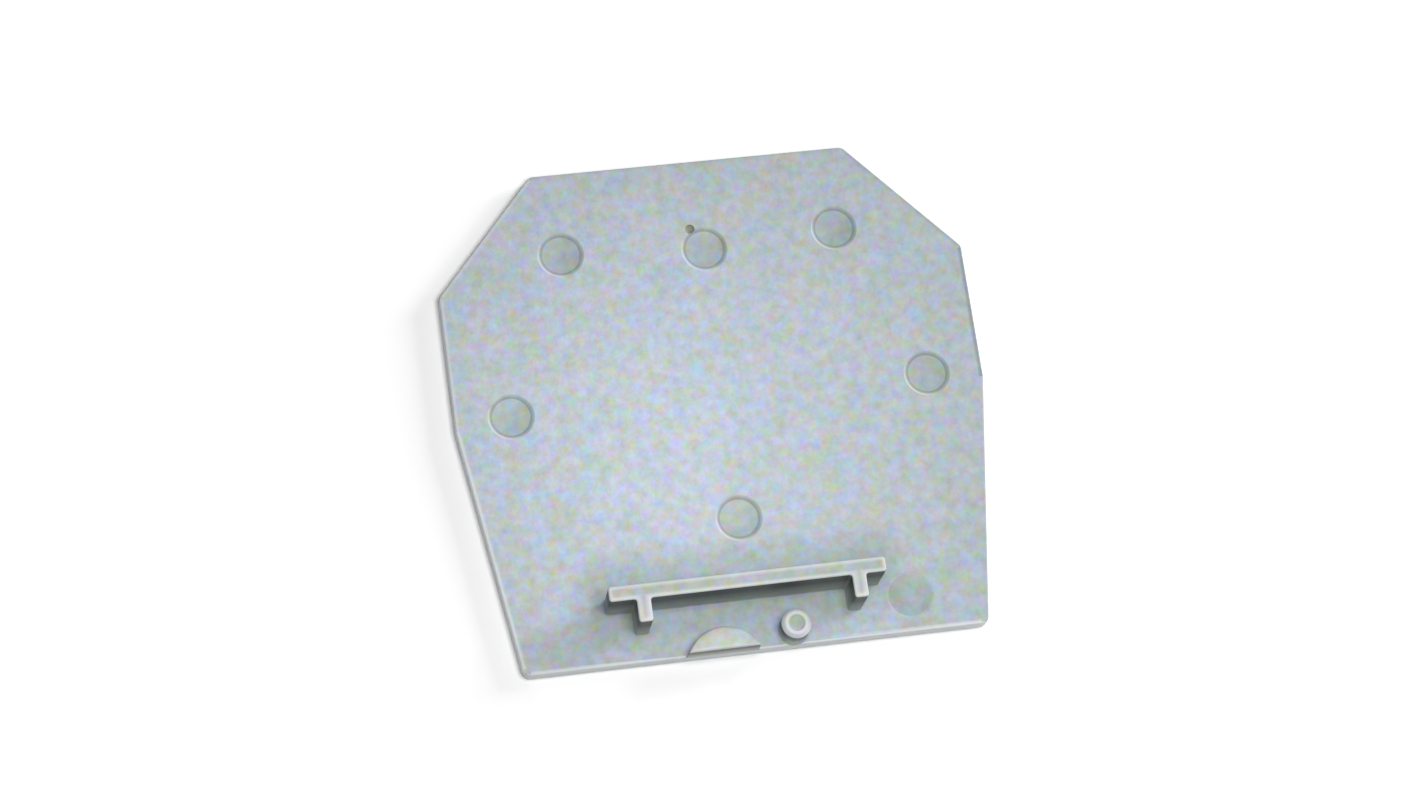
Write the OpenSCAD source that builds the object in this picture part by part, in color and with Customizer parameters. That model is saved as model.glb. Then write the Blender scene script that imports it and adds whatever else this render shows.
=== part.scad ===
// Partition plate for a row of rail mounted terminal blocks.
// One moulding: a thin flat plate with two clipped upper corners, a raised bar on two short legs,
// a locating pin and a half round lug on its front, and shallow round marks left by the ejectors.
// Millimetres. It lies on its back: X runs across it, Y from the lower edge to the upper edge,
// Z out of the front face. The origin is in the middle of its outline, on the back face.

/* [Plate] */
// width between the two straight upper sides
plate_width = 50; // [46:1:60]
// height from the lower edge to the upper edge
plate_height = 48; // [46:1:58]
// thickness of the plate
plate_thickness = 1.5; // [1.2:0.1:3]
// length of the upper edge, between the two clipped corners
top_width = 30.2; // [28:0.2:36]
// length of the lower edge
bottom_width = 43.2; // [40:0.2:45]
// height above the lower edge where the clipped corners begin
shoulder_height = 36.9; // [32:0.1:38]
// height above the lower edge where the sides begin to lean inward
waist_height = 23.7; // [18:0.1:27]
// radius of the outline's corners, seen from the front
corner_radius = 0.8; // [0.5:0.1:2]
// small chamfer that breaks the front and back edges
edge_break = 0.2; // [0.1:0.05:0.4]

/* [Bar and legs] */
// length of the raised bar
bar_length = 25.5; // [20:0.5:30]
// width of the bar across its front
bar_width = 1.4; // [1:0.1:2]
// height of the bar above the front face
bar_height = 5; // [3:0.25:7]
// distance of the bar's lower side from the lower edge
bar_rise = 4.8; // [4.6:0.1:7]
// how far the middle of the bar lies left of the plate's middle
bar_offset = 0.75; // [0:0.05:2]
// width of each leg under the bar
leg_width = 1.3; // [1:0.1:2]
// length of each leg below the bar
leg_length = 2.15; // [1:0.05:3]
// how far the left leg's middle lies from the bar's left end
left_leg_inset = 3.1; // [2:0.1:5]
// how far the right leg's middle lies from the bar's right end
right_leg_inset = 2.6; // [2:0.1:5]
// radius of the bar's and legs' outer corners, seen from the front
bar_corner_radius = 0.25; // [0.1:0.05:0.45]

/* [Pin] */
// diameter of the locating pin
pin_diameter = 2.8; // [2:0.1:3.2]
// height of the pin above the front face
pin_height = 2.7; // [1.5:0.1:5]
// how far the pin's axis lies right of the plate's middle
pin_offset = 3.45; // [3.2:0.05:8]
// plate left between the pin and the lower edge, without the edge break
pin_margin = 0.1; // [0:0.05:0.4]
// lead-in chamfer at the pin's tip
pin_lead_in = 0.3; // [0.1:0.05:0.5]

/* [Lug] */
// length of the half round lug along the lower edge
lug_length = 6.6; // [5:0.1:7]
// how far the lug reaches up from the lower edge
lug_reach = 2.1; // [1.5:0.1:2.5]
// height of the lug above the front face
lug_height = 2; // [1:0.1:4]
// how far the lug's middle lies left of the plate's middle
lug_offset = 3.3; // [3:0.05:8]
// chamfer around the lug's rounded front edge
lug_edge_break = 0.25; // [0.1:0.05:0.5]

/* [Moulding marks] */
// diameter of the round ejector marks
mark_diameter = 4.4; // [3:0.1:5]
// depth of the clear marks below the front face
mark_depth = 0.15; // [0.05:0.05:0.3]
// depth of the two faint marks at the lower corners
faint_mark_depth = 0.06; // [0.02:0.02:0.2]
// distance of the upper side marks from the plate's middle
upper_mark_spread = 13.1; // [10:0.1:14]
// height of the upper side marks above the lower edge
upper_mark_height = 39.9; // [38:0.1:42]
// how far the top middle mark lies right of the plate's middle
middle_mark_offset = 0.5; // [0:0.05:1]
// height of the top middle mark above the lower edge
middle_mark_height = 39.1; // [38:0.1:42]
// distance of the waist marks from the plate's middle
waist_mark_spread = 19.7; // [16:0.1:20.5]
// height of the waist marks above the lower edge
waist_mark_height = 24.6; // [20:0.1:28]
// height of the mark above the bar
low_mark_height = 12.6; // [10:0.1:18]
// distance of the two faint marks from the plate's middle
faint_mark_spread = 14.7; // [14:0.1:17]
// height of the two faint marks above the lower edge
faint_mark_height = 3.5; // [3:0.1:4]
// diameter of the pit where the moulding was broken off its gate
gate_diameter = 0.9; // [0.5:0.1:1.5]
// depth of the gate pit
gate_depth = 0.3; // [0.1:0.05:0.5]
// how far the gate pit lies left of the plate's middle
gate_offset = 0.6; // [0:0.05:2]
// height of the gate pit above the lower edge
gate_height = 41.2; // [40:0.1:44]

/* [Hidden] */
$fn = 96;

// the lower edge, in the plate's own frame
low_y = -plate_height / 2;
// overlap that joins a raised feature to the plate
root = plate_thickness / 2;
// small overshoot of every cutting body
over = 1;

// sharp corners of the outline, anticlockwise from the lower left
outline = [
    [-bottom_width / 2, low_y],
    [bottom_width / 2, low_y],
    [plate_width / 2, low_y + waist_height],
    [plate_width / 2, low_y + shoulder_height],
    [top_width / 2, low_y + plate_height],
    [-top_width / 2, low_y + plate_height],
    [-plate_width / 2, low_y + shoulder_height],
    [-plate_width / 2, low_y + waist_height]
];
corners = len(outline);

function unit(v) = v / norm(v);
function after(i) = outline[(i + 1) % corners];
function before(i) = outline[(i + corners - 1) % corners];
// direction of the side that leaves corner i
function side(i) = unit(after(i) - outline[i]);
function last_side(i) = unit(outline[i] - before(i));
function inward(d) = [-d[1], d[0]];
// corner i moved inside both sides that meet there, by the same distance
function inset_corner(i, by) = let(a = inward(last_side(i)), b = inward(side(i)))
    outline[i] + (a + b) * by / (1 + a * b);

// middles of the round corners
arc_middles = [for (i = [0 : corners - 1]) inset_corner(i, corner_radius)];
function next_middle(i) = arc_middles[(i + 1) % corners];
// the straight rims reach in this far from the arc middles, and the core overlaps half of that
rim_reach = corner_radius;
core = [for (i = [0 : corners - 1]) inset_corner(i, corner_radius + rim_reach / 2)];
// the straight rims stand this much inside the round ones, so that the two cross cleanly
seat = 0.001;

// the rims and the core are made this much too tall at both faces, and one block trims them flat
spare = (corner_radius - edge_break) / 2;

// section of the plate's rim, from inside to the outer wall, with both edges broken
module rim_section(inner, outer) {
    polygon([
        [inner, -spare],
        [outer - edge_break - spare, -spare],
        [outer, edge_break],
        [outer, plate_thickness - edge_break],
        [outer - edge_break - spare, plate_thickness + spare],
        [inner, plate_thickness + spare]
    ]);
}

// straight rim along the side that leaves corner i
module rim_side(i) {
    run = next_middle(i) - arc_middles[i];
    translate([arc_middles[i][0], arc_middles[i][1], 0])
        rotate([0, 0, atan2(run[1], run[0]) - 90])
            rotate([90, 0, 180])
                mirror([1, 0, 0])
                    linear_extrude(norm(run))
                        rim_section(-rim_reach, corner_radius - seat);
}

// round rim at corner i
module rim_corner(i) {
    translate([arc_middles[i][0], arc_middles[i][1], 0])
        rotate_extrude()
            rim_section(0, corner_radius);
}

module plate_blank() {
    intersection() {
        union() {
            translate([0, 0, -spare])
                linear_extrude(plate_thickness + 2 * spare)
                    polygon(core);
            for (i = [0 : corners - 1]) {
                rim_side(i);
                rim_corner(i);
            }
        }
        translate([-plate_width / 2 - over, low_y - over, 0])
            cube([plate_width + 2 * over, plate_height + 2 * over, plate_thickness]);
    }
}

// a rectangle with round corners, by its lower left corner
module rounded_rectangle(corner, size, r) {
    translate(corner) {
        translate([r, 0])
            square([size[0] - 2 * r, size[1]]);
        translate([0, r])
            square([size[0], size[1] - 2 * r]);
        for (x = [r, size[0] - r])
            for (y = [r, size[1] - r])
                translate([x, y])
                    circle(r);
    }
}

bar_left = -bar_offset - bar_length / 2;
bar_right = -bar_offset + bar_length / 2;
bar_low = low_y + bar_rise;
leg_low = bar_low - leg_length;

module leg_outline(middle) {
    rounded_rectangle([middle - leg_width / 2, leg_low],
        [leg_width, leg_length + bar_width / 2 + bar_corner_radius], bar_corner_radius);
}

module bar_and_legs() {
    translate([0, 0, plate_thickness - root])
        linear_extrude(bar_height + root) {
            rounded_rectangle([bar_left, bar_low], [bar_length, bar_width], bar_corner_radius);
            leg_outline(bar_left + left_leg_inset);
            leg_outline(bar_right - right_leg_inset);
        }
}

pin_radius = pin_diameter / 2;
pin_y = low_y + pin_margin + pin_radius;

module locating_pin() {
    translate([pin_offset, pin_y, plate_thickness - root])
        rotate_extrude()
            polygon([
                [0, 0],
                [pin_radius, 0],
                [pin_radius, root + pin_height - pin_lead_in],
                [pin_radius - pin_lead_in, root + pin_height],
                [0, root + pin_height]
            ]);
}

// the lug is the part of a disc above the lower edge: its radius comes from chord and reach
lug_radius = (lug_length * lug_length / 4 + lug_reach * lug_reach) / (2 * lug_reach);
lug_middle_y = low_y + lug_reach - lug_radius;

module lug() {
    intersection() {
        translate([-lug_offset, lug_middle_y, plate_thickness - root])
            rotate_extrude()
                polygon([
                    [0, 0],
                    [lug_radius, 0],
                    [lug_radius, root + lug_height - lug_edge_break],
                    [lug_radius - lug_edge_break, root + lug_height],
                    [0, root + lug_height]
                ]);
        // the lug's underside is flush with the lower edge, above the edge break
        translate([-lug_offset - lug_length, low_y, plate_thickness - root])
            cube([2 * lug_length, lug_reach + over, root + lug_height + over]);
    }
}

module round_pit(x, height, diameter, depth) {
    translate([x, low_y + height, plate_thickness - depth])
        cylinder(h = depth + over, d = diameter);
}

module moulding_marks() {
    for (s = [-1, 1]) {
        round_pit(s * upper_mark_spread, upper_mark_height, mark_diameter, mark_depth);
        round_pit(s * waist_mark_spread, waist_mark_height, mark_diameter, mark_depth);
        round_pit(s * faint_mark_spread, faint_mark_height, mark_diameter, faint_mark_depth);
    }
    round_pit(middle_mark_offset, middle_mark_height, mark_diameter, mark_depth);
    round_pit(0, low_mark_height, mark_diameter, mark_depth);
    round_pit(-gate_offset, gate_height, gate_diameter, gate_depth);
}

module partition_plate() {
    color("#b9c2ca") {
        difference() {
            plate_blank();
            moulding_marks();
        }
        bar_and_legs();
        locating_pin();
        lug();
    }
}

partition_plate();
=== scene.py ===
# %% [markdown]
# # A terminal block partition plate
#
# The object is one thin injection moulding of light grey polyamide, 50 x 48 mm, which parts the
# blocks on a rail. One face carries a long bar on two short legs, a round locating pin and a
# half-round lug at the lower edge, and the shallow round marks that the ejector pins leave.
# It has no foot to stand on, so here it lies on its back and the camera looks down on it.
#
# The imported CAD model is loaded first, as a fixed frame. Everything below is made in metres, in
# that frame: X across, Y from the lower edge to the upper one, Z out of the front face. Sizes are
# written in millimetres, and MM turns them to metres where Blender takes them.

from math import hypot, pi, radians, tan

import bmesh
import bpy
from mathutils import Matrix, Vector


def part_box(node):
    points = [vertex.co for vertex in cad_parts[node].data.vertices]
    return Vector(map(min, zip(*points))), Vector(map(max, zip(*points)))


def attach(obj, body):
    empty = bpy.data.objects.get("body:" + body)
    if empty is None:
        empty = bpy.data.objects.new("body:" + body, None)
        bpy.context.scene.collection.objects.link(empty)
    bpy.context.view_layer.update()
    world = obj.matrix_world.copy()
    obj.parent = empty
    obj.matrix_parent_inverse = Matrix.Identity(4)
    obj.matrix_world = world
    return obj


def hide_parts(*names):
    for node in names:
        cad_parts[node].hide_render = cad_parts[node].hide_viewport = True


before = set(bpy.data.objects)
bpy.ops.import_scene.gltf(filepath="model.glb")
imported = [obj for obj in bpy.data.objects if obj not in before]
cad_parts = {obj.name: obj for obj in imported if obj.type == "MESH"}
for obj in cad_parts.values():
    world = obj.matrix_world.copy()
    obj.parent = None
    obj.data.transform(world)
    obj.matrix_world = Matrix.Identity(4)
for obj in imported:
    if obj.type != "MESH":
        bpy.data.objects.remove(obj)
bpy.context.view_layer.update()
low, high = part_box("partition_plate")
MM = 0.001
cad_width, cad_height, cad_depth = (round((b - a) / MM, 2) for a, b in zip(low, high))

# %% [markdown]
# ## Camera
#
# The photograph looks down on the front face from below its lower edge and a little from the
# left, with the plate turned in the picture. A camera could be aimed by a constraint, but a place
# and three angles say the same in six numbers. They come from matching the eight corners of the
# outline and the slant of the raised features. The long lens keeps the sides of the plate almost
# parallel, as in the photograph.

# %% The camera
camera_data = bpy.data.cameras.new("camera")
camera_data.lens = 90
camera_data.sensor_width = 36
camera_data.clip_start = 0.01
camera = bpy.data.objects.new("camera", camera_data)
camera.location = Vector((-46.36, -94.4, 315.64)) * MM
camera.rotation_euler = [radians(a) for a in (17.595, -5.727, -8.098)]
bpy.context.scene.collection.objects.link(camera)
bpy.context.scene.camera = camera
bpy.context.scene.view_settings.view_transform = "Standard"
print("Camera", round(camera.location.length / MM), "mm from the middle of the plate")

# %% [markdown]
# ## One helper for nodes and one for colour
#
# A shader could be wired by hand in the editor. In code, one small function that adds a node,
# sets it and links it keeps every material readable. Colours are written as the hex values that a
# painter would pick on screen, and one function turns them to the linear values that Blender uses.

# %% Node and colour helpers
def linear(code):
    """The linear colour of an sRGB hex code, with an alpha of 1."""
    steps = [int(code[i:i + 2], 16) / 255 for i in (1, 3, 5)]
    return [s / 12.92 if s <= 0.04045 else ((s + 0.055) / 1.055) ** 2.4 for s in steps] + [1]


def add(tree, kind, settings=(), **inputs):
    """Adds a node. An input goes by its name, or by its number, as in _6, where several share
    one. A socket is linked to it, and any other value is set."""
    node = tree.nodes.new(kind)
    for name, value in dict(settings).items():
        setattr(node, name, value)
    for name, value in inputs.items():
        key = int(name[1:]) if name[1:].isdigit() else name.replace("_", " ")
        if isinstance(value, bpy.types.NodeSocket):
            tree.links.new(value, node.inputs[key])
        else:
            node.inputs[key].default_value = value
    return node


def new_material(name):
    """An empty node material and its tree."""
    material = bpy.data.materials.new(name)
    material.use_nodes = True
    material.node_tree.nodes.clear()
    return material, material.node_tree


# %% [markdown]
# ## Floor and background
#
# The photograph has a white background with a soft shadow. A floor that is lit until it burns out
# would also burn the plate, so the floor's own colour is raised, for the camera and for
# reflections only, and more so further out, where the lamps fade. It still takes the plate's
# shadow. To all other light it is pale paper, which lights the sides of the plate from below.

# %% Floor
# How white the paper is to the camera, by how much that grows with the square of the distance in
# metres, and what it gives back to all other light.
PAPER_WHITE, PAPER_GAIN, PAPER_GREY = 1.05, 75.0, (0.8, 0.8, 0.8, 1)
FLOOR_SIZE, FLOOR_DROP = 4, 0.01 * MM

bpy.ops.object.select_all(action="DESELECT")
bpy.ops.mesh.primitive_plane_add(size=FLOOR_SIZE, location=(0, 0, -FLOOR_DROP))
floor = bpy.context.object
floor.name = "floor"
material, tree = new_material("matte_white_paper")
rays = add(tree, "ShaderNodeLightPath").outputs
seen = add(tree, "ShaderNodeMath", {"operation": "MAXIMUM"},
           _0=rays["Is Camera Ray"], _1=rays["Is Glossy Ray"])
seen = add(tree, "ShaderNodeMath", {"operation": "MAXIMUM"},
           _0=seen.outputs[0], _1=rays["Is Transmission Ray"])
place = add(tree, "ShaderNodeTexCoord").outputs["Object"]
distance_squared = add(tree, "ShaderNodeVectorMath", {"operation": "DOT_PRODUCT"},
                       _0=place, _1=place)
white = add(tree, "ShaderNodeMath", {"operation": "MULTIPLY_ADD"},
            _0=distance_squared.outputs["Value"], _1=PAPER_GAIN, _2=PAPER_WHITE)
paper = add(tree, "ShaderNodeMix", {"data_type": "RGBA"}, Factor=seen.outputs[0],
            _6=PAPER_GREY, _7=white.outputs[0])
paper = add(tree, "ShaderNodeBsdfDiffuse", Color=paper.outputs[2])
add(tree, "ShaderNodeOutputMaterial", Surface=paper.outputs[0])
floor.data.materials.append(material)
print("Floor", FLOOR_SIZE, "m wide")

# %% World: white to the camera, and a little light from all round
SKY_LIGHT = 0.11

world = bpy.data.worlds.new("studio")
bpy.context.scene.world = world
world.use_nodes = True
world.node_tree.nodes.clear()
rays = add(world.node_tree, "ShaderNodeLightPath").outputs
level = add(world.node_tree, "ShaderNodeMix", {"data_type": "FLOAT"},
            _0=rays["Is Camera Ray"], _2=SKY_LIGHT, _3=1.0)
sky = add(world.node_tree, "ShaderNodeBackground", Color=(1, 1, 1, 1), Strength=level.outputs[0])
add(world.node_tree, "ShaderNodeOutputWorld", Surface=sky.outputs[0])
print("Sky light", SKY_LIGHT)

# %% [markdown]
# ## Lamps
#
# No hard shadow falls on the plate in the photograph, but a soft one lies above the bar, and the
# left sides of the bar, the legs and the pin are dark. So a large soft box hangs overhead, a little
# towards the lower edge, and a weaker one stands far off at the upper right. One lamp between the
# two would give the plate its brightness, but not both shadows.

# %% Lamps
def soft_box(name, place, size, level):
    """A square lamp aimed at the plate, which lights a white card there to the level given."""
    lamp_data = bpy.data.lights.new(name, "AREA")
    lamp_data.size = size * MM
    lamp = bpy.data.objects.new(name, lamp_data)
    lamp.location = Vector(place) * MM
    lamp.rotation_euler = (-lamp.location).to_track_quat("-Z", "Y").to_euler()
    reach = lamp.location.length
    lamp_data.energy = level * pi ** 2 * reach ** 2 * reach / lamp.location.z
    bpy.context.scene.collection.objects.link(lamp)
    print(name, round(lamp_data.energy, 2), "W")


soft_box("overhead_box", place=(5, -36, 200), size=90, level=0.71)
soft_box("upper_right_box", place=(400, 150, 170), size=170, level=0.21)

# %% [markdown]
# ## Working in edit mode
#
# Edit-mode tools act on whatever is selected, so each step first picks its corners, edges or
# faces by where they are or which way they look, as one would by eye. The tools themselves are
# wrapped in short functions that take millimetres, so that a shape reads as a list of steps.

# %% Picking corners, edges and faces
def at(item):
    """The middle of a corner, edge or face, in mm."""
    if isinstance(item, bmesh.types.BMVert):
        return item.co / MM
    if isinstance(item, bmesh.types.BMEdge):
        return (item.verts[0].co + item.verts[1].co) / 2 / MM
    return item.calc_center_median() / MM


def near(a, b, by=0.001):
    """Whether two lengths in mm are the same, within what is allowed."""
    return abs(a - b) < by


def pick(kind, test):
    """In edit mode, selects only what passes the test, and says how many that is."""
    mesh = bpy.context.object.data
    bpy.ops.mesh.select_mode(type=kind)
    bpy.ops.mesh.select_all(action="DESELECT")
    shape = bmesh.from_edit_mesh(mesh)
    items = {"VERT": shape.verts, "EDGE": shape.edges, "FACE": shape.faces}[kind]
    found = [item for item in items if test(item)]
    for item in found:
        item.select_set(True)
    shape.select_flush_mode()
    bmesh.update_edit_mesh(mesh)
    return len(found)


def level_edges(z, test=lambda edge: True):
    """A test for edges that lie at the height z, in mm, and pass another test."""
    return lambda edge: all(near(v.co.z / MM, z) for v in edge.verts) and test(edge)


def facing_up(face):
    """Whether a face looks straight out of the front."""
    return face.normal.z > 0.99


# %% Editing in mm
def start(name):
    """Names the new primitive, sets its place in its mesh and opens it for editing."""
    bpy.context.object.name = name
    bpy.ops.object.transform_apply(location=True, rotation=True, scale=True)
    bpy.ops.object.mode_set(mode="EDIT")
    return bpy.context.object


def extrude(x=0, y=0, z=0):
    """Pulls out what is selected."""
    bpy.ops.mesh.extrude_region_move(TRANSFORM_OT_translate={"value": Vector((x, y, z)) * MM})


def inset(by):
    """Draws the selected face's outline again, further in."""
    bpy.ops.mesh.inset(thickness=by * MM, use_even_offset=True)


def bevel(by, segments, affect="EDGES"):
    """Rounds the selected edges or corners."""
    bpy.ops.mesh.bevel(offset_type="OFFSET", offset=by * MM, segments=segments, profile=0.5,
                       affect=affect, clamp_overlap=False)


def cut(place, normal, fill=True, clear=True):
    """Cuts what is selected by a plane, and clears the side that the normal points to."""
    bpy.ops.mesh.bisect(plane_co=Vector(place) * MM, plane_no=Vector(normal).normalized(),
                        use_fill=fill, clear_outer=clear, threshold=1e-7)


def close():
    """Points the faces outwards, leaves edit mode and counts open edges."""
    bpy.ops.mesh.select_all(action="SELECT")
    bpy.ops.mesh.normals_make_consistent(inside=False)
    bpy.ops.object.mode_set(mode="OBJECT")
    shape = bmesh.new()
    shape.from_mesh(bpy.context.object.data)
    open_edges = sum(not edge.is_manifold for edge in shape.edges)
    print(bpy.context.object.name, len(shape.faces), "faces,", open_edges, "open edges,",
          round(shape.calc_volume() / MM ** 3, 2), "mm3")
    shape.free()


# %% [markdown]
# ## The blank
#
# The plate has straight shoulders at the top and sides that draw in towards the lower edge. It
# could be drawn point by point; it is quicker to add a block of the full size and take the four
# slanting sides off with plane cuts, as a saw would. The corners are then rounded, and the front
# and back edges get the small radius that a mould's parting line leaves. A last inset of the
# front keeps the shading of that radius off the flat face.

# %% The blank: sizes in mm
# The blank stays this much inside the CAD model's box.
SLACK = 0.002
WIDTH, HEIGHT, THICK = cad_width - SLACK, cad_height - SLACK, 1.5
TOP_WIDTH, LOW_WIDTH = 30.2, 43.2
SHOULDER, WAIST = 36.9, 23.7
CORNER, EDGE, FLAT_INSET = 0.8, 0.2, 0.3
low_y = -HEIGHT / 2
right_side = [(LOW_WIDTH / 2, low_y), (WIDTH / 2, low_y + WAIST),
              (WIDTH / 2, low_y + SHOULDER), (TOP_WIDTH / 2, low_y + HEIGHT)]
outline = right_side + [(-x, y) for x, y in reversed(right_side)]

# %% The blank: block and four cuts
bpy.ops.object.select_all(action="DESELECT")
bpy.ops.mesh.primitive_cube_add(size=1, location=Vector((0, 0, THICK / 2)) * MM,
                                scale=Vector((WIDTH, HEIGHT, THICK)) * MM)
plate = start("moulded_plate")
for (x, y), (next_x, next_y) in (right_side[:2], right_side[2:]):
    for side in (1, -1):
        bpy.ops.mesh.select_all(action="SELECT")
        cut((side * x, y, 0), (side * (next_y - y), x - next_x, 0))

# %% The blank: round corners and soft edges
for i, (x, y) in enumerate(outline):
    before, after = Vector(outline[i - 1]), Vector(outline[(i + 1) % len(outline)])
    inner_angle = (before - Vector((x, y))).angle(after - Vector((x, y)))
    pick("EDGE", lambda e: all(hypot(at(v).x - x, at(v).y - y) < 0.01 for v in e.verts))
    bevel(CORNER / tan(inner_angle / 2), segments=8)
for z in (0, THICK):
    pick("EDGE", level_edges(z))
    bevel(EDGE, segments=5)
pick("FACE", lambda f: near(at(f).z, THICK) and facing_up(f))
inset(FLAT_INSET)
close()

# %% [markdown]
# ## Ejector marks and gate
#
# Six ejector pins stood slightly proud of the mould and left clear round marks; two more, near
# the lower corners, hardly show. Each mark could be cut with a cylinder, but its edge is soft in
# the photograph, so a flat cone cuts it, whose wall leans. The gate, where the plastic came in, is
# a small round pit, cut with a ball.

# %% Marks: places and sizes in mm
# Each mark is given by its distance right of the middle and its height above the lower edge.
CLEAR_MARKS = [(-13.1, 39.9), (13.1, 39.9), (0.5, 39.1), (-19.7, 24.6), (19.7, 24.6), (0, 12.6)]
FAINT_MARKS = [(-14.7, 3.5), (14.7, 3.5)]
MARK_R, MARK_DEEP, FAINT_DEEP = 2.2, 0.15, 0.06
# How far in the foot of a mark's leaning wall lies.
CLEAR_LEAN, FAINT_LEAN = 0.42, 0.2
GATE, GATE_R, GATE_DEEP = (-0.6, 41.2), 0.45, 0.3
# How far the cutting cones stand out of the front face.
OVER = 0.5


def away(item, mark):
    """How far a corner, edge or face is from the middle of a mark, in mm, seen from the front."""
    return hypot(at(item).x - mark[0], at(item).y - low_y - mark[1])


# %% Cut the marks and the gate
def combine(tool, operation):
    """Joins the tool to the plate or cuts it away, and removes the tool."""
    bpy.ops.object.select_all(action="DESELECT")
    plate.select_set(True)
    bpy.context.view_layer.objects.active = plate
    modifier = plate.modifiers.new(operation.lower(), "BOOLEAN")
    modifier.operation = operation
    modifier.solver = "EXACT"
    modifier.object = tool
    bpy.ops.object.modifier_apply(modifier=modifier.name)
    bpy.data.objects.remove(tool)


for marks, deep, lean in ((CLEAR_MARKS, MARK_DEEP, CLEAR_LEAN),
                          (FAINT_MARKS, FAINT_DEEP, FAINT_LEAN)):
    for x, height in marks:
        bpy.ops.object.select_all(action="DESELECT")
        bpy.ops.mesh.primitive_cone_add(
            vertices=72, radius1=(MARK_R - lean) * MM, radius2=(MARK_R + lean * OVER / deep) * MM,
            depth=(deep + OVER) * MM,
            location=Vector((x, low_y + height, THICK + (OVER - deep) / 2)) * MM)
        combine(bpy.context.object, "DIFFERENCE")
ball_r = (GATE_R ** 2 + GATE_DEEP ** 2) / (2 * GATE_DEEP)
bpy.ops.object.select_all(action="DESELECT")
bpy.ops.mesh.primitive_uv_sphere_add(
    segments=32, ring_count=24, radius=ball_r * MM,
    location=Vector((GATE[0], low_y + GATE[1], THICK - GATE_DEEP + ball_r)) * MM)
combine(bpy.context.object, "DIFFERENCE")
print(len(CLEAR_MARKS + FAINT_MARKS), "marks and the gate:", len(plate.data.polygons), "faces")

# %% [markdown]
# ## The bar and its two legs
#
# The bar keeps the next block at its distance, and stands 5 mm off the face with two short legs
# under it, all flush at the front. Drawn from above it is one outline: a strip, cut at the sides
# of the legs, whose lower edges are pulled out. The outline is drawn too large by the root radius
# and inset by it again, so the small radius where the rib meets the plate can be a bevel of the
# inner step. The foot goes 0.3 mm into the plate, so that the two fuse cleanly later.

# %% The bar: sizes in mm
BAR = {"left": -13.5, "right": 12.0, "low": -19.2, "high": -17.8, "front": cad_depth}
LEGS = [(-11.05, -9.75), (8.75, 10.05)]
LEG_LENGTH = 2.15
RIB_CORNER, ROOT, RIB_EDGE = 0.25, 0.14, 0.16
# How far in from the edges the lines lie that keep their shading off the flat fronts.
SCORE = 0.45
# The feet start a hair above the front face, so that no two faces coincide, and end inside it.
SEAT, SUNK = THICK + 0.008, THICK - 0.3


# %% The bar: helpers that raise a foot and score a front
def raise_foot(height, root):
    """Raises the one face that is there, which is too large by root, to a height above it."""
    pick("FACE", lambda f: True)
    inset(root)
    extrude(z=height)
    pick("EDGE", level_edges(SEAT, lambda e: e.is_boundary))
    extrude(z=SUNK - SEAT)
    bpy.ops.mesh.edge_face_add()
    pick("EDGE", level_edges(SEAT, lambda e: any(near(at(f).z, SEAT + height / 2, 0.3)
                                                 for f in e.link_faces)))
    # A touch less than the root, so that the round does not fold over its rim.
    bevel(root * 0.98, segments=5)


def score(z, place, normal):
    """Draws a line across the front faces at the height z, where a plane meets them."""
    pick("FACE", lambda f: near(at(f).z, z) and facing_up(f))
    cut(place, normal, fill=False, clear=False)


# %% The bar: outline
bar_middle = Vector(((BAR["left"] + BAR["right"]) / 2, (BAR["low"] + BAR["high"]) / 2, SEAT))
bar_size = Vector((BAR["right"] - BAR["left"], BAR["high"] - BAR["low"], 0))
bpy.ops.object.select_all(action="DESELECT")
bpy.ops.mesh.primitive_plane_add(size=1, location=bar_middle * MM)
bar = start("bar")
bpy.ops.transform.resize(value=((bar_size.x + 2 * ROOT) * MM, (bar_size.y + 2 * ROOT) * MM, 1),
                         center_override=bar_middle * MM)
for left, right in LEGS:
    for x in (left - ROOT, right + ROOT):
        bpy.ops.mesh.select_all(action="SELECT")
        cut((x, 0, SEAT), (1, 0, 0), fill=False, clear=False)
    pick("EDGE", lambda e: near(at(e).x, (left + right) / 2) and near(at(e).y, BAR["low"] - ROOT))
    extrude(y=-LEG_LENGTH)
bpy.ops.mesh.select_all(action="SELECT")
bpy.ops.mesh.dissolve_limited(angle_limit=radians(1))

# %% The bar: round corners, height and front
inner_corners = [x for pair in LEGS for x in (pair[0] - ROOT, pair[1] + ROOT)]
pick("VERT", lambda v: near(at(v).y, BAR["low"] - ROOT)
     and any(near(at(v).x, x) for x in inner_corners))
bevel(RIB_CORNER - ROOT, segments=5, affect="VERTICES")
pick("VERT", lambda v: len(v.link_edges) == 2 and v.calc_edge_angle() > radians(80))
bevel(RIB_CORNER + ROOT, segments=5, affect="VERTICES")
raise_foot(BAR["front"] - SEAT, ROOT)
pick("EDGE", level_edges(BAR["front"]))
bevel(RIB_EDGE, segments=4)
for y in (BAR["high"] - SCORE, BAR["low"] + SCORE, BAR["low"] - LEG_LENGTH + SCORE):
    score(BAR["front"], (0, y, 0), (0, 1, 0))
for x in [BAR["left"] + SCORE, BAR["right"] - SCORE] + [sum(pair) / 2 for pair in LEGS]:
    score(BAR["front"], (x, 0, 0), (1, 0, 0))
close()

# %% [markdown]
# ## The locating pin
#
# The pin drops into a hole of the neighbouring block. It has a lead-in at the tip and a shallow
# dimple in its end, which shows as a light ring with a darker middle. It starts as a disc, and
# grows by extruding and narrowing its one face, as on a lathe. Its root is cut off at the lower
# edge of the plate, where there is hardly room for it.

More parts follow.
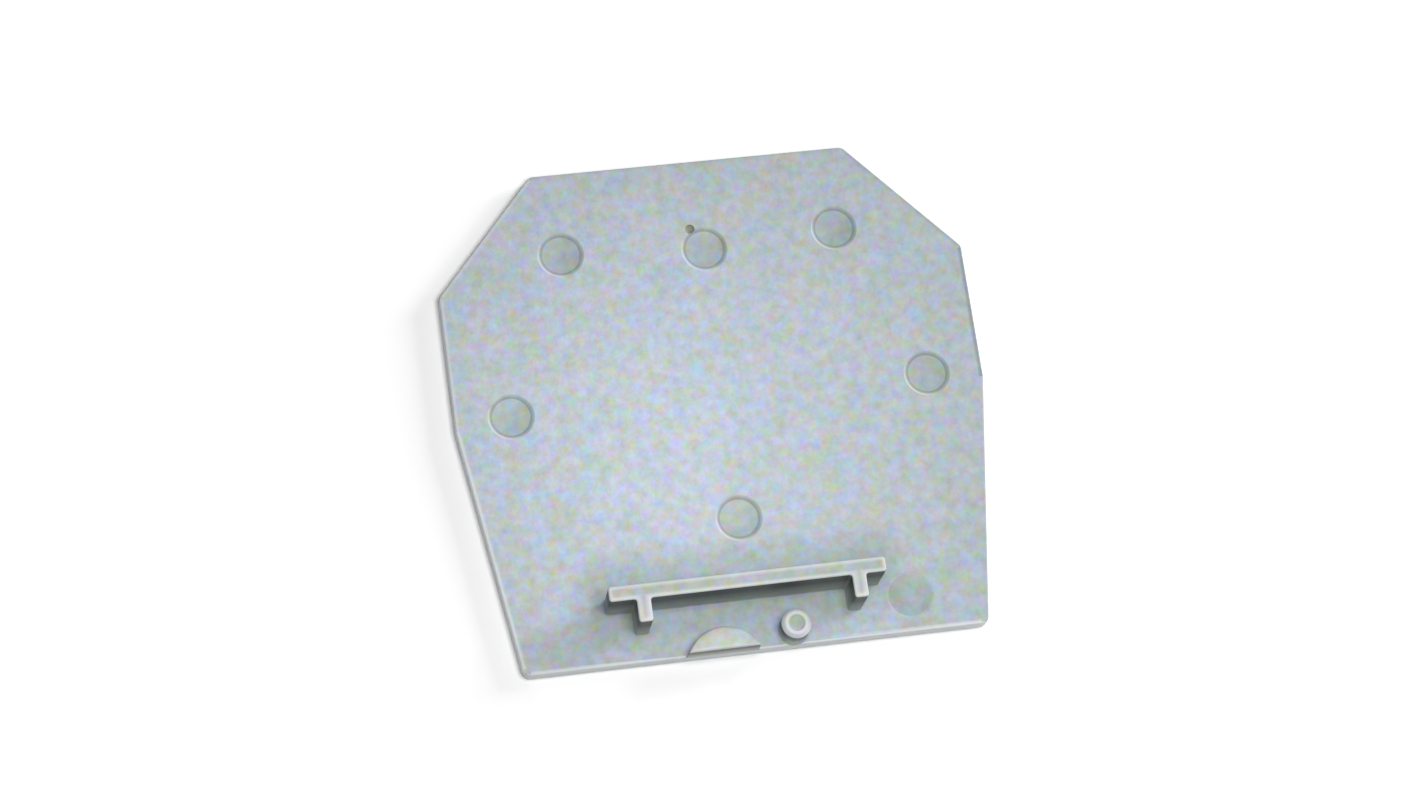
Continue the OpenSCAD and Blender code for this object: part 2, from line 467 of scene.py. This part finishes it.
# %% The pin: sizes in mm
PIN_X, PIN_Y, PIN_R, PIN_HIGH, LEAD_IN = 3.45, -22.5, 1.4, 2.7, 0.3
PIN_ROOT, PIN_EDGE, DIMPLE_R, DIMPLE_DEEP = 0.1, 0.08, 0.8, 0.15
PIN_TIP = THICK + PIN_HIGH
# What reaches the lower edge is cut off this far inside it.
TRIM = low_y + 0.005


def narrow(x, y, by):
    """Scales what is selected about an upright axis."""
    bpy.ops.transform.resize(value=(by, by, 1), center_override=Vector((x, y, 0)) * MM)


# %% The pin
bpy.ops.object.select_all(action="DESELECT")
bpy.ops.mesh.primitive_circle_add(vertices=64, radius=(PIN_R + PIN_ROOT) * MM, fill_type="NGON",
                                  location=Vector((PIN_X, PIN_Y, SEAT)) * MM)
pin = start("pin")
raise_foot(PIN_TIP - LEAD_IN - SEAT, PIN_ROOT)
pick("FACE", lambda f: near(at(f).z, PIN_TIP - LEAD_IN) and facing_up(f))
extrude(z=LEAD_IN)
narrow(PIN_X, PIN_Y, (PIN_R - LEAD_IN) / PIN_R)
inset(PIN_R - LEAD_IN - DIMPLE_R)
inset(DIMPLE_DEEP)
bpy.ops.transform.translate(value=Vector((0, 0, -DIMPLE_DEEP)) * MM)
for z, radius in ((PIN_TIP - LEAD_IN, PIN_R), (PIN_TIP, PIN_R - LEAD_IN)):
    pick("EDGE", level_edges(z, lambda e: hypot(at(e).x - PIN_X, at(e).y - PIN_Y) > radius * 0.99))
    bevel(PIN_EDGE, segments=3)
bpy.ops.mesh.select_all(action="SELECT")
cut((0, TRIM, 0), (0, -1, 0))
close()

# %% [markdown]
# ## The lug
#
# The lug at the lower edge is a slice of a disc, with its flat side flush with the edge of the
# plate. It is made as the whole disc, in the same way as the pin, and the plane of the lower edge
# cuts off what isn't there. A second, slanting cut breaks the edge that this leaves.

# %% The lug: sizes in mm
LUG_X, LUG_LENGTH, LUG_REACH, LUG_HIGH = -3.3, 6.6, 2.1, 2.0
LUG_R = (LUG_LENGTH ** 2 / 4 + LUG_REACH ** 2) / (2 * LUG_REACH)
LUG_Y = low_y + LUG_REACH - LUG_R
LUG_EDGE, LUG_INSET, LUG_CHAMFER = 0.2, 0.25, 0.12
LUG_FRONT = THICK + LUG_HIGH

# %% The lug
bpy.ops.object.select_all(action="DESELECT")
bpy.ops.mesh.primitive_circle_add(vertices=128, radius=(LUG_R + ROOT) * MM, fill_type="NGON",
                                  location=Vector((LUG_X, LUG_Y, SEAT)) * MM)
lug = start("lug")
raise_foot(LUG_FRONT - SEAT, ROOT)
pick("EDGE", level_edges(LUG_FRONT))
bevel(LUG_EDGE, segments=4)
pick("FACE", lambda f: near(at(f).z, LUG_FRONT) and facing_up(f))
inset(LUG_INSET)
for z, normal in ((0, (0, -1, 0)), (LUG_FRONT - LUG_CHAMFER, (0, -1, 1))):
    bpy.ops.mesh.select_all(action="SELECT")
    cut((0, TRIM, z), normal)
score(LUG_FRONT, (0, low_y + SCORE, 0), (0, 1, 0))
close()

# %% [markdown]
# ## Fusing
#
# On the real part all this is one body of plastic. Loose pieces that only overlap would leave
# walls inside the plate, so the three are joined to it by Boolean modifiers, which are applied.
# The bar's left end stands partly on a faint mark, which is why the marks are cut before this.
#
# Smooth shading then goes by angle. The marks' walls are flatter than that angle, so their rims
# are marked sharp. Otherwise their shading would run far into the large front face.

# %% Fuse the raised features
for feature in (bar, pin, lug):
    combine(feature, "UNION")
bpy.ops.object.mode_set(mode="EDIT")
close()

# %% Smooth shading, with crisp rims on the marks
SMOOTH_UP_TO = radians(24)

bpy.ops.object.shade_smooth_by_angle(angle=SMOOTH_UP_TO)
bpy.ops.object.mode_set(mode="EDIT")
rim_edges = pick("EDGE", level_edges(THICK, lambda e: any(
    away(e, mark) < MARK_R + 0.01 for mark in CLEAR_MARKS + FAINT_MARKS)))
bpy.ops.mesh.mark_sharp()
bpy.ops.object.mode_set(mode="OBJECT")
print("Sharp edges round the marks:", rim_edges)

# %% [markdown]
# ## Moulded polyamide
#
# The plate is polyamide, moulded against steel that was eroded by sparks. That gives the eye a
# dull, fine-grained skin, with no clear reflections, and a mottling of lilac, blue and green
# patches about a millimetre across, which the photograph shows all over. The hues come from the
# three channels of one noise, added to the base colour. An image texture could carry them too,
# but it would have a fixed size, and the noise has none.
#
# Four functions each lay one thing over the colour: the mottling, a painted falloff of light
# towards the rim of the plate, painted shade round the bar, and painted highlights on edges and
# rims. A fifth paints shade on walls and darkens rims, and the last one makes the skin.

# %% Polyamide: mottling and painted falloff of light, sizes in mm
# The skin's grain is drawn at 0.35 mm: the real one is near 0.05 mm, which the picture could not
# show.
PATCH, CLOUD, GRAIN = 1.0, 4.0, 0.35
# How far the patches swing in red, green and blue, on a base whose green is HUE_BASE.
HUES, HUE_BASE = Vector((0.56, 0.48, 1.20)), 0.6
# Where the painted light is brightest, and where its painted falloff starts and ends, from there.
BRIGHTEST, FALLOFF_FROM, FALLOFF_TO = Vector((-7, -3, THICK)), 5, 30
# How much the clouds add to that, and between which sums the full tint comes in.
CLOUD_SHARE, TINT_FROM, TINT_TO = 0.7, 0.15, 1.5
# The darker, less blue tint that the painted falloff of light gives the rim.
FALLOFF_TINT = (0.73, 0.735, 0.69, 1)
TINTED = {"data_type": "RGBA", "blend_type": "MULTIPLY"}


def mottle(tree, place, base):
    """The base colour, with patches of other hues."""
    hues = HUES * base.y / HUE_BASE
    patches = add(tree, "ShaderNodeTexNoise", Vector=place, Scale=1 / (PATCH * MM), Detail=3.0,
                  Roughness=0.6)
    return add(tree, "ShaderNodeVectorMath", {"operation": "MULTIPLY_ADD"},
               _0=patches.outputs["Color"], _1=hues, _2=base - hues / 2).outputs[0]


def paint_falloff(tree, place, colour):
    """Painted falloff of light: towards its rim the plate is a touch darker and less blue, in soft
    clouds.
    """
    clouds = add(tree, "ShaderNodeTexNoise", Vector=place, Scale=1 / (CLOUD * MM), Detail=4.0,
                 Roughness=0.65)
    rim = add(tree, "ShaderNodeVectorMath", {"operation": "DISTANCE"}, _0=place,
              _1=BRIGHTEST * MM)
    rim = add(tree, "ShaderNodeMapRange", Value=rim.outputs["Value"], From_Min=FALLOFF_FROM * MM,
              From_Max=FALLOFF_TO * MM)
    shade = add(tree, "ShaderNodeMath", {"operation": "MULTIPLY_ADD"}, _0=clouds.outputs["Fac"],
                _1=CLOUD_SHARE, _2=rim.outputs[0])
    shade = add(tree, "ShaderNodeMapRange", Value=shade.outputs[0], From_Min=TINT_FROM,
                From_Max=TINT_TO)
    return add(tree, "ShaderNodeMix", TINTED, Factor=shade.outputs[0], _6=colour,
               _7=FALLOFF_TINT).outputs[2]


# %% Polyamide: painted shade round the bar, sizes in mm
# The painted shade starts at a box round the bar, which reaches the first of these past its upper
# side, and fades out over the second. The third is its tint.
SHADE_ABOVE, SHADE_FADE, BAR_SHADE_TINT = 1.6, 4, (0.77, 0.79, 0.75, 1)
shade_middle = bar_middle + Vector((0, SHADE_ABOVE / 2, 0))
shade_size = bar_size / 2 + Vector((0, SHADE_ABOVE / 2, 10))


def paint_bar_shade(tree, place, colour):
    """Painted shade in the corner round the bar, reaching furthest above it."""
    out = add(tree, "ShaderNodeVectorMath", {"operation": "SUBTRACT"}, _0=place,
              _1=shade_middle * MM)
    out = add(tree, "ShaderNodeVectorMath", {"operation": "ABSOLUTE"}, _0=out.outputs[0])
    out = add(tree, "ShaderNodeVectorMath", {"operation": "SUBTRACT"}, _0=out.outputs[0],
              _1=shade_size * MM)
    out = add(tree, "ShaderNodeVectorMath", {"operation": "MAXIMUM"}, _0=out.outputs[0],
              _1=(0, 0, 0))
    out = add(tree, "ShaderNodeVectorMath", {"operation": "LENGTH"}, _0=out.outputs[0])
    shady = add(tree, "ShaderNodeMapRange", {"interpolation_type": "SMOOTHSTEP"},
                Value=out.outputs["Value"], From_Min=0.0, From_Max=SHADE_FADE * MM, To_Min=1.0,
                To_Max=0.0)
    return add(tree, "ShaderNodeMix", TINTED, Factor=shady.outputs[0], _6=colour,
               _7=BAR_SHADE_TINT).outputs[2]


# %% Polyamide: painted highlights, painted shade on walls, and darker rims
# How much of the painted highlight colour shows where the attribute is 1.
HIGHLIGHT_COLOUR, HIGHLIGHT_SHARE = "#eef1f2", 0.45
# From which value of the other attribute the darker tint is full.
FULL_TINT = 0.7


def paint_highlights(tree, colour):
    """Painted highlights make edges, rims and side faces paler. An attribute says where they are.
    """
    painted_highlight = add(tree, "ShaderNodeAttribute", {"attribute_name": "painted_highlight"}).outputs["Fac"]
    painted_highlight = add(tree, "ShaderNodeMath", {"operation": "MULTIPLY"}, _0=painted_highlight, _1=HIGHLIGHT_SHARE)
    return add(tree, "ShaderNodeMix", {"data_type": "RGBA"}, Factor=painted_highlight.outputs[0],
               _6=colour, _7=linear(HIGHLIGHT_COLOUR)).outputs[2]


def darken(tree, colour, darkest):
    """Painted shade on walls, and darker rims. An attribute says how far each corner turns darker.
    """
    shaded = add(tree, "ShaderNodeAttribute", {"attribute_name": "shaded"}).outputs["Fac"]
    shaded = add(tree, "ShaderNodeMapRange", Value=shaded, From_Max=FULL_TINT)
    return add(tree, "ShaderNodeMix", TINTED, Factor=shaded.outputs[0], _6=colour,
               _7=[darkest] * 3 + [1]).outputs[2]


# %% [markdown]
# ### Six skins of one plastic
#
# The ejector pins are ground, so their marks are smoother and a little darker. The pockets for the
# raised features were cut, not eroded, so their fronts are smoother, and they are given a paler
# colour. Their walls are drawn along the steel as the part leaves the mould, and painted shade
# darkens them towards the front edge, where it is nearly black, most on those that face left or
# down.
# One material with masks could hold all six, but with a slot each, a skin can be changed without
# touching the others.

# %% Polyamide: the six skins
# How far the grain moves the roughness up and down, and the refraction of polyamide.
ROUGH_SWING, POLYAMIDE_IOR = 0.06, 1.53


def polyamide(name, base, roughness, relief, darkest=1):
    """Moulded polyamide of that base colour, with a relief of that height in mm."""
    material, tree = new_material(name)
    place = add(tree, "ShaderNodeTexCoord").outputs["Object"]
    colour = mottle(tree, place, Vector(linear(base)[:3]))
    colour = paint_bar_shade(tree, place, paint_falloff(tree, place, colour))
    colour = paint_highlights(tree, colour)
    if darkest < 1:
        colour = darken(tree, colour, darkest)
    grain = add(tree, "ShaderNodeTexNoise", Vector=place, Scale=1 / (GRAIN * MM), Detail=2.0,
                Roughness=0.6).outputs["Fac"]
    dull = add(tree, "ShaderNodeMapRange", Value=grain, To_Min=roughness - ROUGH_SWING,
               To_Max=roughness + ROUGH_SWING)
    bumps = add(tree, "ShaderNodeBump", Height=grain, Distance=relief * MM, Strength=1.0)
    skin = add(tree, "ShaderNodeBsdfPrincipled", Base_Color=colour, Roughness=dull.outputs[0],
               IOR=POLYAMIDE_IOR, Normal=bumps.outputs[0])
    add(tree, "ShaderNodeOutputMaterial", Surface=skin.outputs[0])
    return material


ERODED, PIN_MARK, CUT, DRAWN_WALL, GATE_PIT, MARK_WALL = range(6)
# The last number, where there is one, is the darkest tint: painted shade on walls, and darker rims.
for values in (("moulded_polyamide_eroded", "#c7d2de", 0.62, 0.03, 0.6),
               ("moulded_polyamide_pin_mark", "#b5c3c8", 0.5, 0.01),
               ("moulded_polyamide_cut", "#d0d8dd", 0.5, 0.015),
               ("moulded_polyamide_drawn_wall", "#ccd4d1", 0.42, 0.006, 0.1),
               ("moulded_polyamide_gate", "#9aa3a5", 0.7, 0.03),
               ("moulded_polyamide_mark_wall", "#c5cfd6", 0.6, 0.01, 0.6)):
    plate.data.materials.append(polyamide(*values))
print("Skins:", len(plate.data.materials))

# %% [markdown]
# ## Which faces have which skin
#
# The whole plate starts with the first, eroded skin. The others could be given to faces clicked by
# hand; here each is given to the faces that lie at its height and look its way. The left faint
# mark hardly shows in the photograph, so it keeps the skin of the plate.

# %% Assign the skins
def floor_of(marks, deep):
    """A test for faces on the floor of round marks."""
    return lambda f: near(at(f).z, THICK - deep, 0.01) and facing_up(f) and any(
        away(f, mark) < MARK_R for mark in marks)


def wall_of_mark(face):
    """A test for faces on the leaning wall of a clear mark."""
    return (any(away(face, mark) < MARK_R for mark in CLEAR_MARKS)
            and THICK - MARK_DEEP < at(face).z < THICK - 0.001)


def assign(skin, test):
    """Gives a skin to the faces that pass the test."""
    plate.active_material_index = skin
    found = pick("FACE", test)
    bpy.ops.object.material_slot_assign()
    print(plate.data.materials[skin].name, found, "faces")


# A face that looks out of the front less than this is a wall, and what lies higher than FRONTS
# is the front of a raised feature.
WALL_LOOK, FRONTS = 0.3, THICK + 1
DIMPLE_FLOOR = PIN_TIP - DIMPLE_DEEP

bpy.ops.object.mode_set(mode="EDIT")
assign(PIN_MARK, floor_of(CLEAR_MARKS, MARK_DEEP))
assign(PIN_MARK, floor_of(FAINT_MARKS[1:], FAINT_DEEP))
assign(PIN_MARK, lambda f: near(at(f).z, DIMPLE_FLOOR, 0.01) and facing_up(f))
assign(CUT, lambda f: at(f).z > FRONTS and f.normal.z > WALL_LOOK
       and f.material_index == ERODED)
assign(DRAWN_WALL, lambda f: at(f).z > THICK + 0.1 and f.normal.z <= WALL_LOOK)
assign(GATE_PIT, lambda f: away(f, GATE) < GATE_R * 0.98
       and THICK - GATE_DEEP - 0.1 < at(f).z < THICK - 0.02)
assign(MARK_WALL, lambda f: wall_of_mark(f) and f.material_index == ERODED)
bpy.ops.object.mode_set(mode="OBJECT")

# %% [markdown]
# ## Where highlights and shade are painted
#
# Two attributes steer painted highlights and painted shade. The front edges of the raised features
# and the rim of the plate on its lower and left sides get a pale painted highlight, and so does the
# rim of each ejector mark at its lower left. The walls of the raised features get painted shade at
# the top, those of the marks at the foot, and the right and upper rims are painted darker. Both
# could be painted by hand. Here each corner of each face gets its own two values, because a value
# that the faces round a point share would fade across the whole flat front.

# %% Painted highlight and shade: how strongly
# The crescent starts this far towards the lower left of a mark, as a share of its radius.
CRESCENT_HIGHLIGHT, CRESCENT_START = 1.3, 0.2
# How shaded the top of a wall is that the photograph shows, and that of any other.
SEEN_WALL, OTHER_WALL = 1.0, 0.35
# For each side of the outline, from the lower one round past the right and the top to the lower
# left one: the painted highlight on the wall, that on the front edge, and how much darker that edge
# is.
RIMS = ((2.2, 1.5, 0), (0, 0, 0.12), (0, 0, 0.7), (0, 0, 0.3), (0, 0, 0.05), (2.2, 0.8, 0),
        (2.2, 1, 0), (2.2, 1.5, 0))
# What looks out of the front more than this is the round front edge, and not the wall.
EDGE_LOOK = 0.1


def nearest_side(x, y):
    """How far inside the nearest side of the outline a point is, in mm, and that side's number."""
    sides = []
    for i, corner in enumerate(outline):
        first = Vector(outline[i - 1])
        along = (Vector(corner) - first).normalized()
        sides.append((along.cross(Vector((x, y)) - first), i))
    return min(sides)


def on_mark_wall(vertex):
    """Painted shade at a mark's foot, and a painted highlight in a crescent on its rim at the lower
    left.
    """
    if at(vertex).z < THICK - 0.001:
        return 0, 1
    mark_x, mark_height = min(CLEAR_MARKS, key=lambda mark: away(vertex, mark))
    lower_left = (mark_x - at(vertex).x + mark_height + low_y - at(vertex).y) / MARK_R
    return max(0, lower_left - CRESCENT_START) * CRESCENT_HIGHLIGHT, 0


def on_raised(face, vertex):
    """A raised feature's front edge gets a painted highlight, but not the dimple or the lug's soft
    arc.
    """
    x, y, z = at(vertex)
    # The round edge is where a corner's lowest-looking face is neither a wall nor flat.
    on_edge = 0.05 < min(other.normal.z for other in vertex.link_faces) < 0.999
    on_dimple = near(z, DIMPLE_FLOOR, 0.01)
    on_arc = near(z, LUG_FRONT, 0.25) and x < 0 and y > low_y + 0.2
    # Painted shade falls most on walls that face left or down.
    seen = face.normal.x < -0.2 or face.normal.y < -0.2
    return float(on_edge and not on_dimple and not on_arc), SEEN_WALL if seen else OTHER_WALL


def highlight_and_shade(face, vertex):
    """How much painted highlight and painted shade one corner of a face gets."""
    x, y, z = at(vertex)
    if face.material_index == MARK_WALL:
        return on_mark_wall(vertex)
    if z > FRONTS:
        return on_raised(face, vertex)
    inside, side = nearest_side(x, y)
    if not EDGE / 2 < z < THICK + 0.001 or inside > EDGE + 0.01:
        return 0, 0
    wall, edge, grey = RIMS[side]
    return (edge, grey) if face.normal.z > EDGE_LOOK else (wall, 0)


# %% Store both for each corner of each face
shape = bmesh.new()
shape.from_mesh(plate.data)
painted_highlight = shape.loops.layers.float.new("painted_highlight")
shaded = shape.loops.layers.float.new("shaded")
for face in shape.faces:
    for corner in face.loops:
        corner[painted_highlight], corner[shaded] = highlight_and_shade(face, corner.vert)
corners = [corner for face in shape.faces for corner in face.loops]
print(sum(corner[painted_highlight] > 0 for corner in corners), "of", len(corners), "corners are rubbed and",
      sum(corner[shaded] > 0 for corner in corners), "shaded")
shape.to_mesh(plate.data)
shape.free()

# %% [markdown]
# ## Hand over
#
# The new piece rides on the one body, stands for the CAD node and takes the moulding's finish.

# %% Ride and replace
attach(plate, "root")
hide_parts("partition_plate")
